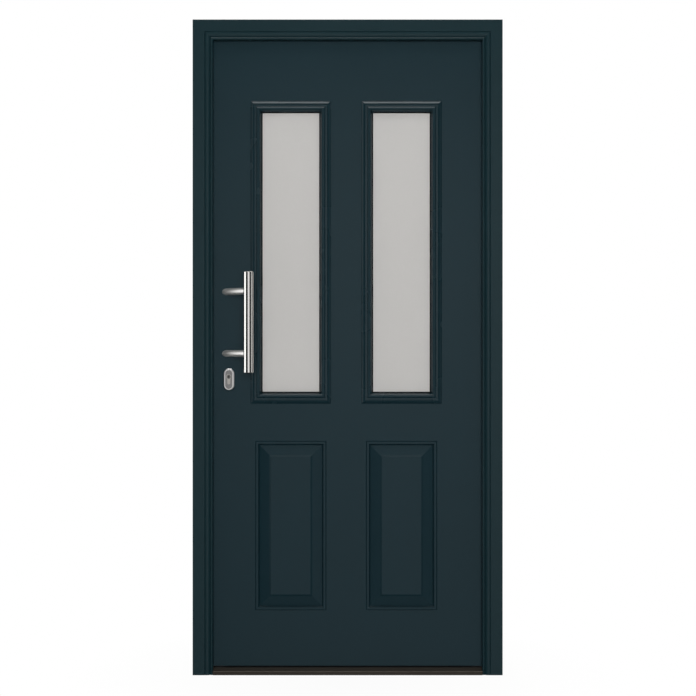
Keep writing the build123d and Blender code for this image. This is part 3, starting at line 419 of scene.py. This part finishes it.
def add_piece(
    name: str, shape: bmesh.types.BMesh, finish: Finish, body: str
) -> bpy.types.Object:
    """Make an object of a finished shape and let it ride on a body.

    Args:
        name: The piece's name.
        shape: Its mesh, which is used up.
        finish: Its finish.
        body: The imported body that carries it.

    Returns:
        The new object, at the origin.
    """
    bmesh.ops.remove_doubles(shape, verts=shape.verts, dist=MERGE_DISTANCE)
    bmesh.ops.recalc_face_normals(shape, faces=shape.faces)
    mesh = bpy.data.meshes.new(name)
    for face in shape.faces:
        face.smooth = True
    shape.to_mesh(mesh)
    shape.free()
    mesh.set_sharp_from_angle(angle=SMOOTH_ANGLE)
    mesh.materials.append(finish.material())
    piece = bpy.data.objects.new(name, mesh)
    bpy.context.scene.collection.objects.link(piece)
    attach(piece, body)
    LOG.info("%s: new piece on %s, %s", name, body, finish.name)
    return piece


def facing(direction: Vector, place: Vector) -> Matrix:
    """Return the matrix that stands a shape's +Z along a direction at a place."""
    return Matrix.Translation(place) @ direction.to_track_quat("Z", "Y").to_matrix().to_4x4()


def circle(radius: float) -> Outline:
    """Return the outline of a circle, whose radius is the same at every angle."""
    return lambda angle: radius


def place_ring(ring: Sequence[bmesh.types.BMVert], height: float, outline: Outline) -> None:
    """Put a ring's points at a height, each at its own angle and at the outline's distance from the axis.

    Args:
        ring: The points, which keep their angles.
        height: Their new height.
        outline: Their new distance by angle.
    """
    for vert in ring:
        angle = math.atan2(vert.co.y, vert.co.x)
        reach = outline(angle)
        vert.co = Vector((reach * math.cos(angle), reach * math.sin(angle), height))


def raise_rings(shape: bmesh.types.BMesh, place: Matrix, rings: Rings, segments: int) -> None:
    """Raise a closed turned shape by extruding the cap of a circle from ring to ring.

    Args:
        shape: The mesh that gets it.
        place: The matrix that puts it in place, its axis along +Z.
        rings: Each ring's height, and its radius as a function of the angle.
        segments: Points in a ring.
    """
    ring = bmesh.ops.create_circle(shape, cap_ends=True, radius=1.0, segments=segments)["verts"]
    verts = list(ring)
    cap = ring[0].link_faces[0]
    for number, (height, outline) in enumerate(rings):
        if number:
            grown = bmesh.ops.extrude_face_region(shape, geom=[cap])["geom"]
            # The first cap closes the foot, and those above it would lie inside the shape
            if number > 1:
                bmesh.ops.delete(shape, geom=[cap], context="FACES_ONLY")
            ring = [item for item in grown if isinstance(item, bmesh.types.BMVert)]
            cap = next(item for item in grown if isinstance(item, bmesh.types.BMFace))
            verts += ring
        place_ring(ring, height, outline)
    bmesh.ops.transform(shape, matrix=place, verts=verts)


def run_ring(shape: bmesh.types.BMesh, place: Matrix, rings: Rings, segments: int) -> None:
    """Run a hollow ring by extruding a loop from ring to ring and back to the first.

    Args:
        shape: The mesh that gets it.
        place: The matrix that puts it in place, its axis along +Z.
        rings: Each ring's height, and its radius as a function of the angle.
        segments: Points in a ring.
    """
    ring = bmesh.ops.create_circle(shape, radius=1.0, segments=segments)["verts"]
    edges = list({edge for vert in ring for edge in vert.link_edges})
    verts = list(ring)
    for number, (height, outline) in enumerate((*rings, rings[0])):
        if number:
            grown = bmesh.ops.extrude_edge_only(shape, edges=edges)["geom"]
            ring = [item for item in grown if isinstance(item, bmesh.types.BMVert)]
            grown_edges = [item for item in grown if isinstance(item, bmesh.types.BMEdge)]
            edges = [edge for edge in grown_edges if set(edge.verts) <= set(ring)]
            verts += ring
        place_ring(ring, height, outline)
    bmesh.ops.transform(shape, matrix=place, verts=verts)


@dataclass(frozen=True)
class Oval:
    """An upright outline with straight sides and round ends, whose middle may lie above or below its axis."""

    width: float
    height: float
    rise: float

    def reach(self, angle: float) -> float:
        """Return the outline's distance from the axis at an angle.

        Args:
            angle: The angle from the level, in radians.

        Returns:
            The distance to the straight side, or to the round end where that comes first.
        """
        radius = self.width / 2
        straight = abs(self.rise + math.copysign(self.height / 2 - radius, math.sin(angle)))
        level, upright = abs(math.cos(angle)), abs(math.sin(angle))
        if radius * upright <= straight * level:
            return radius / level
        return straight * upright + math.sqrt(radius**2 - (straight * level) ** 2)


# Lobes of a screw's recess, and their height as a share of its radius
LOBES = 6
LOBE_SHARE = 0.14


class Drive(Enum):
    """Recess in a screw's head."""

    HEXAGON = "hexagon socket"
    LOBES = "six lobes"

    def reach(self, angle: float) -> float:
        """Return the recess's radius at an angle, as a share of its full radius."""
        if self is Drive.HEXAGON:
            return math.cos(math.pi / 6) / math.cos(angle % (math.pi / 3) - math.pi / 6)
        return 1 - LOBE_SHARE + LOBE_SHARE * math.cos(LOBES * angle)


@dataclass(frozen=True)
class Screw:
    """A flat screw head that stands a little proud of its plate."""

    head: float = 8.4 * MM
    proud: float = 0.7 * MM
    edge: float = 0.35 * MM
    recess: float = 4.6 * MM
    recess_depth: float = 0.6 * MM
    drive: Drive = Drive.LOBES
    segments: int = 48

    def recess_outline(self, angle: float) -> float:
        """Return the recess's radius at an angle."""
        return self.recess / 2 * self.drive.reach(angle)

    def add(self, shape: bmesh.types.BMesh, place: Vector, direction: Vector) -> None:
        """Add one head.

        Args:
            shape: The mesh that gets it.
            place: The point of the plate's face under its middle.
            direction: The way that the face looks.
        """
        rings = [
            (0.0, circle(self.head / 2)),
            (self.proud - self.edge, circle(self.head / 2)),
            (self.proud, circle(self.head / 2 - self.edge)),
            (self.proud, self.recess_outline),
            (self.proud - self.recess_depth, self.recess_outline),
        ]
        raise_rings(shape, facing(direction, place), rings, self.segments)


@dataclass
class DoorFrame:
    """Jambs, head, threshold and strike plates, which the wall holds."""

    strike_screw_end: float = 7.0 * MM
    side_strike_height: float = 62.0 * MM

    def dress(self) -> None:
        """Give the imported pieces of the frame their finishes."""
        dress(FRAME_COAT, "left_jamb_outer", "right_jamb_outer", "head_outer")
        dress(FRAME_COAT, "left_jamb_inner", "right_jamb_inner", "head_inner")
        dress(BRONZE_ANODISED, "threshold_front", "threshold_back", "corner_cleats")
        dress(FILLED_NYLON, "thermal_breaks", "threshold_core")
        dress(SEAL_RUBBER, "frame_seal")
        dress(SATIN_STAINLESS, "main_strike", "side_strikes")

    def build_strike_screws(self) -> None:
        """Screw each strike plate to the jamb at its two ends."""
        shape = bmesh.new()
        main_low, main_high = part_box("main_strike")
        side_low, side_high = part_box("side_strikes")
        ends = [
            (main_low.z, main_high.z),
            (side_low.z, side_low.z + self.side_strike_height),
            (side_high.z - self.side_strike_height, side_high.z),
        ]
        middle_y = (main_low.y + main_high.y) / 2
        for low, high in ends:
            for z in (low + self.strike_screw_end, high - self.strike_screw_end):
                Screw().add(shape, Vector((main_high.x, middle_y, z)), Vector((1, 0, 0)))
        add_piece("strike_screws", shape, ZINC_PLATE, "frame")


@dataclass
class Leaf:
    """Skins, edges and core of the leaf, with its seals."""

    def dress(self) -> None:
        """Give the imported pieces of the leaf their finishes."""
        dress(LEAF_COAT, "outer_skin", "inner_skin")
        dress(CORE_FOAM, "foam_core")
        dress(UPRIGHT_TIMBER, "lock_stile", "hinge_stile")
        dress(LEVEL_TIMBER, "top_rail", "bottom_rail")
        dress(SEAL_RUBBER, "leaf_seal", "bottom_seal")


@dataclass
class Lights:
    """The two glazed lights: panes, mouldings and the gaskets round the glass."""

    def dress(self) -> None:
        """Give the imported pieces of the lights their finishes."""
        for side in ("left", "right"):
            dress(MOULDING_LACQUER, f"{side}_outer_moulding", f"{side}_inner_moulding")
            dress(BLASTED_GLASS, f"{side}_outer_pane")
            dress(FLOAT_GLASS, f"{side}_inner_pane")
        dress(FLOAT_GLASS, "middle_panes")
        dress(FILLED_NYLON, "pane_spacers")
        dress(SEAL_RUBBER, "glazing_tapes")


@dataclass
class Lock:
    """Multi-point lock, profile cylinder, plates and lever."""

    faceplate_screws: int = 9
    faceplate_end: float = 14.0 * MM
    plate_screw_end: float = 13.0 * MM
    axis_rise: float = 8.5 * MM
    guard_width: float = 23.0 * MM
    guard_height: float = 61.0 * MM
    guard_proud: float = 0.7 * MM
    guard_edge: float = 0.5 * MM
    guard_segments: int = 160
    # The profile cylinder's head and tail, with 0.3 mm of room round them
    cylinder_head: float = 17.6 * MM
    cylinder_tail: Oval = Oval(10.6 * MM, 30.1 * MM, -9.75 * MM)

    def dress(self) -> None:
        """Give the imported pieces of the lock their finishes."""
        dress(SATIN_STAINLESS, "faceplate")
        dress(BLASTED_STAINLESS, "outside_escutcheon", "inside_plate")
        dress(LEVEL_STAINLESS, "lever_handle")
        dress(ZINC_PLATE, "lock_case", "bolt_cases", "main_deadbolt", "side_bolts", "latch_bolt")
        dress(ZINC_PLATE, "follower", "spindle", "drive_rods")
        dress(NICKEL_PLATE, "cylinder_body", "cylinder_cam")
        dress(BLACK_NICKEL, "outer_plug", "inner_plug")

    def build_faceplate_screws(self) -> None:
        """Screw the faceplate to the leaf's edge at even steps."""
        shape = bmesh.new()
        low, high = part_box("faceplate")
        step = (high.z - low.z - 2 * self.faceplate_end) / (self.faceplate_screws - 1)
        for number in range(self.faceplate_screws):
            z = low.z + self.faceplate_end + step * number
            Screw().add(shape, Vector((low.x, (low.y + high.y) / 2, z)), Vector((-1, 0, 0)))
        add_piece("faceplate_screws", shape, ZINC_PLATE, "leaf")

    def build_plate_screws(self) -> None:
        """Screw the inside plate through the leaf at its two ends."""
        shape = bmesh.new()
        low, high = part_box("inside_plate")
        for z in (low.z + self.plate_screw_end, high.z - self.plate_screw_end):
            place = Vector(((low.x + high.x) / 2, high.y, z))
            Screw(drive=Drive.HEXAGON).add(shape, place, Vector((0, 1, 0)))
        add_piece("plate_screws", shape, BLASTED_STAINLESS, "leaf")

    def around_cylinder(self, angle: float) -> float:
        """Return the distance from the cylinder's axis, at an angle, that clears its head and its tail."""
        return max(self.cylinder_head / 2, self.cylinder_tail.reach(angle))

    def build_guard_plate(self) -> None:
        """Set the oval guard plate on the outside escutcheon, close round the cylinder."""
        shape = bmesh.new()
        low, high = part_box("outside_escutcheon")
        axis = Vector(((low.x + high.x) / 2, low.y, (low.z + high.z) / 2 + self.axis_rise))
        foot = Oval(self.guard_width, self.guard_height, -self.axis_rise)
        top = Oval(foot.width - 2 * self.guard_edge, foot.height - 2 * self.guard_edge, foot.rise)
        rings = [
            (0.0, foot.reach),
            (self.guard_proud - self.guard_edge, foot.reach),
            (self.guard_proud, top.reach),
            (self.guard_proud, self.around_cylinder),
            (0.0, self.around_cylinder),
        ]
        place = Matrix.Translation(axis) @ Matrix.Rotation(math.pi / 2, 4, "X")
        run_ring(shape, place, rings, self.guard_segments)
        add_piece("guard_plate", shape, HARDENED_STEEL, "leaf")


@dataclass
class Handle:
    """Outside pull bar on its two posts."""

    def dress(self) -> None:
        """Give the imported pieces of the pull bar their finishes."""
        dress(UPRIGHT_STAINLESS, "pull_bar")
        dress(LEVEL_STAINLESS, "pull_posts")
        dress(ZINC_PLATE, "pull_studs")


@dataclass
class Hinges:
    """Three hinges on the inside, screwed to the leaf and capped at both ends."""

    height: float = 100.0 * MM
    plate_thickness: float = 5.0 * MM
    screw_columns: tuple[float, float] = (12.0 * MM, 44.0 * MM)
    screw_end: float = 14.0 * MM
    knuckle: float = 20.0 * MM
    cap_height: float = 4.0 * MM
    cap_edge: float = 2.5 * MM
    # The dome's rings as shares of cap_edge: below the cap's top, and in from its rim
    dome_shares: tuple[tuple[float, float], ...] = ((1.0, 0.0), (0.25, 0.5), (0.0, 1.4))
    cap_segments: int = 48

    def dress(self) -> None:
        """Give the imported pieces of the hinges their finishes."""
        dress(BLASTED_STAINLESS, "hinge_frame_parts", "hinge_leaf_parts", "hinge_pins")

    def places(self) -> list[float]:
        """Return the heights of the hinges' middles."""
        low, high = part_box("hinge_leaf_parts")
        first, last = low.z + self.height / 2, high.z - self.height / 2
        return [first, (first + last) / 2, last]

    def build_screws(self) -> None:
        """Screw each leaf plate down at four points."""
        shape = bmesh.new()
        low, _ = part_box("hinge_leaf_parts")
        for middle in self.places():
            for column in self.screw_columns:
                for side in (-1, 1):
                    z = middle + side * (self.height / 2 - self.screw_end)
                    place = Vector((low.x + column, low.y + self.plate_thickness, z))
                    Screw(drive=Drive.HEXAGON).add(shape, place, Vector((0, 1, 0)))
        add_piece("hinge_screws", shape, BLASTED_STAINLESS, "leaf")

    def build_caps(self) -> None:
        """Close each hinge with a domed cap on its leaf knuckle above and its frame knuckle below."""
        _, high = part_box("hinge_leaf_parts")
        radius = self.knuckle / 2
        axis = Vector((high.x - radius, high.y - radius, 0))
        rings = [(0.0, circle(radius))]
        for below, inwards in self.dome_shares:
            rings.append((self.cap_height - below * self.cap_edge, circle(radius - inwards * self.cap_edge)))
        for name, body, side in (("leaf_hinge_caps", "leaf", 1), ("frame_hinge_caps", "frame", -1)):
            shape = bmesh.new()
            for middle in self.places():
                end = axis + Vector((0, 0, middle + side * self.height / 2))
                raise_rings(shape, facing(Vector((0, 0, side)), end), rings, self.cap_segments)
            add_piece(name, shape, BLASTED_STAINLESS, body)


class Role(Enum):
    """What a soft box does: it lights matt surfaces, or it is a pale board for glossy ones to mirror."""

    LIGHT = "light"
    BOARD = "board"


@dataclass(frozen=True)
class Lamp:
    """A soft box of the studio."""

    name: str
    role: Role
    place: tuple[float, float, float]
    aim: tuple[float, float, float]
    width: float
    height: float
    level: float

    def hang(self) -> None:
        """Make the lamp at its level of brightness and turn it to its aim; the camera never sees it."""
        light = bpy.data.lights.new(self.name, "AREA")
        light.shape = "RECTANGLE"
        light.size, light.size_y = self.width, self.height
        light.energy = math.pi * self.width * self.height * self.level
        lamp = bpy.data.objects.new(self.name, light)
        bpy.context.scene.collection.objects.link(lamp)
        lamp.location = self.place
        lamp.rotation_euler = (Vector(self.aim) - Vector(self.place)).to_track_quat("-Z", "Y").to_euler()
        lamp.visible_camera = False
        lamp.visible_diffuse = self.role is Role.LIGHT
        lamp.visible_glossy = self.role is Role.BOARD
        lamp.visible_transmission = False


# Point of the door that the lights are turned to
DOOR_MIDDLE = (0.0, 0.0, 1.05)


@dataclass
class Studio:
    """White background, pale floor, soft boxes and the camera of the photograph."""

    floor_size: float = 16.0
    floor_colour: str = "#f4f3f1"
    floor_glow: float = 0.94
    floor_fade: tuple[float, float] = (0.1, 0.9)
    room_colour: str = "#ffffff"
    room_level: float = 0.15
    room_reflection: float = 0.02
    camera_place: tuple[float, float, float] = (0.0012, -4.84, 1.0552)
    camera_lens: float = 77.0
    camera_sensor: float = 36.0
    lamps: tuple[Lamp, ...] = (
        Lamp("front_box", Role.LIGHT, (0.3, -8.0, 2.2), DOOR_MIDDLE, 3.6, 3.0, 13.0),
        Lamp("top_box", Role.LIGHT, (0.4, -2.2, 4.2), DOOR_MIDDLE, 2.6, 1.2, 1.5),
        Lamp("back_box", Role.LIGHT, (-0.3, 8.0, 2.4), DOOR_MIDDLE, 3.6, 3.0, 13.0),
        Lamp("left_box", Role.LIGHT, (-8.0, 0.6, 2.2), DOOR_MIDDLE, 3.6, 3.0, 5.0),
        Lamp("right_box", Role.LIGHT, (8.0, 0.6, 2.2), DOOR_MIDDLE, 3.6, 3.0, 5.0),
        Lamp("front_board", Role.BOARD, (0.45, -4.9, 0.1), (0.45, 0.0, 0.1), 3.5, 5.4, 1.0),
        Lamp("top_board", Role.BOARD, (0.0, -1.25, 4.6), (0.0, -0.4, 1.4), 3.2, 1.9, 8.0),
        Lamp("left_board", Role.BOARD, (-2.6, -0.35, 1.6), (0.0, -0.35, 1.6), 2.3, 3.4, 1.6),
        Lamp("right_board", Role.BOARD, (2.6, -0.2, 1.3), (0.0, -0.2, 1.3), 2.0, 2.8, 0.7),
        Lamp("back_board", Role.BOARD, (-0.45, 4.9, 0.1), (-0.45, 0.0, 0.1), 3.5, 5.4, 0.8),
        Lamp("high_board", Role.BOARD, (0.0, 1.25, 4.6), (0.0, 0.4, 1.4), 3.2, 1.9, 8.0),
    )

    def build_floor(self) -> None:
        """Lay the floor, which shows the object's shadow near it and fades to white further off."""
        shape = bmesh.new()
        bmesh.ops.create_grid(shape, x_segments=1, y_segments=1, size=self.floor_size / 2)
        mesh = bpy.data.meshes.new("studio_floor")
        shape.to_mesh(mesh)
        shape.free()
        mesh.materials.append(self.floor_material())
        floor = bpy.data.objects.new("studio_floor", mesh)
        bpy.context.scene.collection.objects.link(floor)
        floor.visible_glossy = False
        floor.visible_shadow = False

    def seen_directly(self, tree: bpy.types.NodeTree) -> bpy.types.NodeSocket:
        """Return a socket that is one for camera and transmission rays."""
        path = add_node(tree, "ShaderNodeLightPath").outputs
        seen = add_node(
            tree,
            "ShaderNodeMath",
            {"operation": "MAXIMUM"},
            {0: path["Is Camera Ray"], 1: path["Is Transmission Ray"]},
        )
        return seen.outputs[0]

    def floor_material(self) -> bpy.types.Material:
        """Return the floor's material: matt and pale, with a glow that only shown rays see."""
        material = bpy.data.materials.new("pale_studio_floor")
        material.use_nodes = True
        tree = material.node_tree
        tree.nodes.clear()
        place = add_node(tree, "ShaderNodeTexCoord").outputs["Object"]
        reach = add_node(tree, "ShaderNodeVectorMath", {"operation": "LENGTH"}, {0: place})
        near, far = self.floor_fade
        glow = add_node(
            tree,
            "ShaderNodeMapRange",
            {"From Min": near, "From Max": far, "To Min": self.floor_glow, "To Max": 1.0},
            {"Value": reach.outputs["Value"]},
        )
        share = add_node(
            tree,
            "ShaderNodeMath",
            {"operation": "MULTIPLY"},
            {0: glow.outputs["Result"], 1: self.seen_directly(tree)},
        )
        matt = add_node(tree, "ShaderNodeBsdfDiffuse", {"Color": linear(self.floor_colour)})
        white = add_node(tree, "ShaderNodeEmission")
        mixed = add_node(
            tree,
            "ShaderNodeMixShader",
            links={0: share.outputs[0], 1: matt.outputs[0], 2: white.outputs[0]},
        )
        add_node(tree, "ShaderNodeOutputMaterial", links={"Surface": mixed.outputs[0]})
        return material

    def build_world(self) -> None:
        """Make the room: white to the camera and behind glass, and dim to all else."""
        world = bpy.data.worlds.new("studio_room")
        bpy.context.scene.world = world
        world.use_nodes = True
        tree = world.node_tree
        tree.nodes.clear()
        path = add_node(tree, "ShaderNodeLightPath").outputs
        unseen = add_node(
            tree,
            "ShaderNodeMix",
            {FLOAT_A: self.room_level, FLOAT_B: self.room_reflection},
            {MIX_FACTOR: path["Is Glossy Ray"]},
        )
        level = add_node(
            tree,
            "ShaderNodeMix",
            {FLOAT_B: 1.0},
            {MIX_FACTOR: self.seen_directly(tree), FLOAT_A: unseen.outputs[FLOAT_RESULT]},
        )
        light = add_node(
            tree,
            "ShaderNodeBackground",
            {"Color": linear(self.room_colour)},
            {"Strength": level.outputs[FLOAT_RESULT]},
        )
        add_node(tree, "ShaderNodeOutputWorld", links={"Surface": light.outputs[0]})

    def place_camera(self) -> None:
        """Stand the camera where the photograph was taken, square to the door."""
        data = bpy.data.cameras.new("photo_camera")
        data.lens = self.camera_lens
        data.sensor_width = self.camera_sensor
        camera = bpy.data.objects.new("photo_camera", data)
        bpy.context.scene.collection.objects.link(camera)
        camera.location = self.camera_place
        camera.rotation_euler = (math.pi / 2, 0.0, 0.0)
        bpy.context.scene.camera = camera

    def build(self) -> None:
        """Set up the whole studio."""
        bpy.context.scene.view_settings.view_transform = "Standard"
        self.build_floor()
        self.build_world()
        for lamp in self.lamps:
            lamp.hang()
        self.place_camera()


def main() -> None:
    """Dress the door piece by piece and set up the studio."""
    logging.basicConfig(level=logging.INFO, format="%(name)s: %(message)s")
    door_frame = DoorFrame()
    door_frame.dress()
    door_frame.build_strike_screws()
    Leaf().dress()
    Lights().dress()
    lock = Lock()
    lock.dress()
    lock.build_faceplate_screws()
    lock.build_plate_screws()
    lock.build_guard_plate()
    Handle().dress()
    hinges = Hinges()
    hinges.dress()
    hinges.build_screws()
    hinges.build_caps()
    Studio().build()


if __name__ == "__main__":
    main()
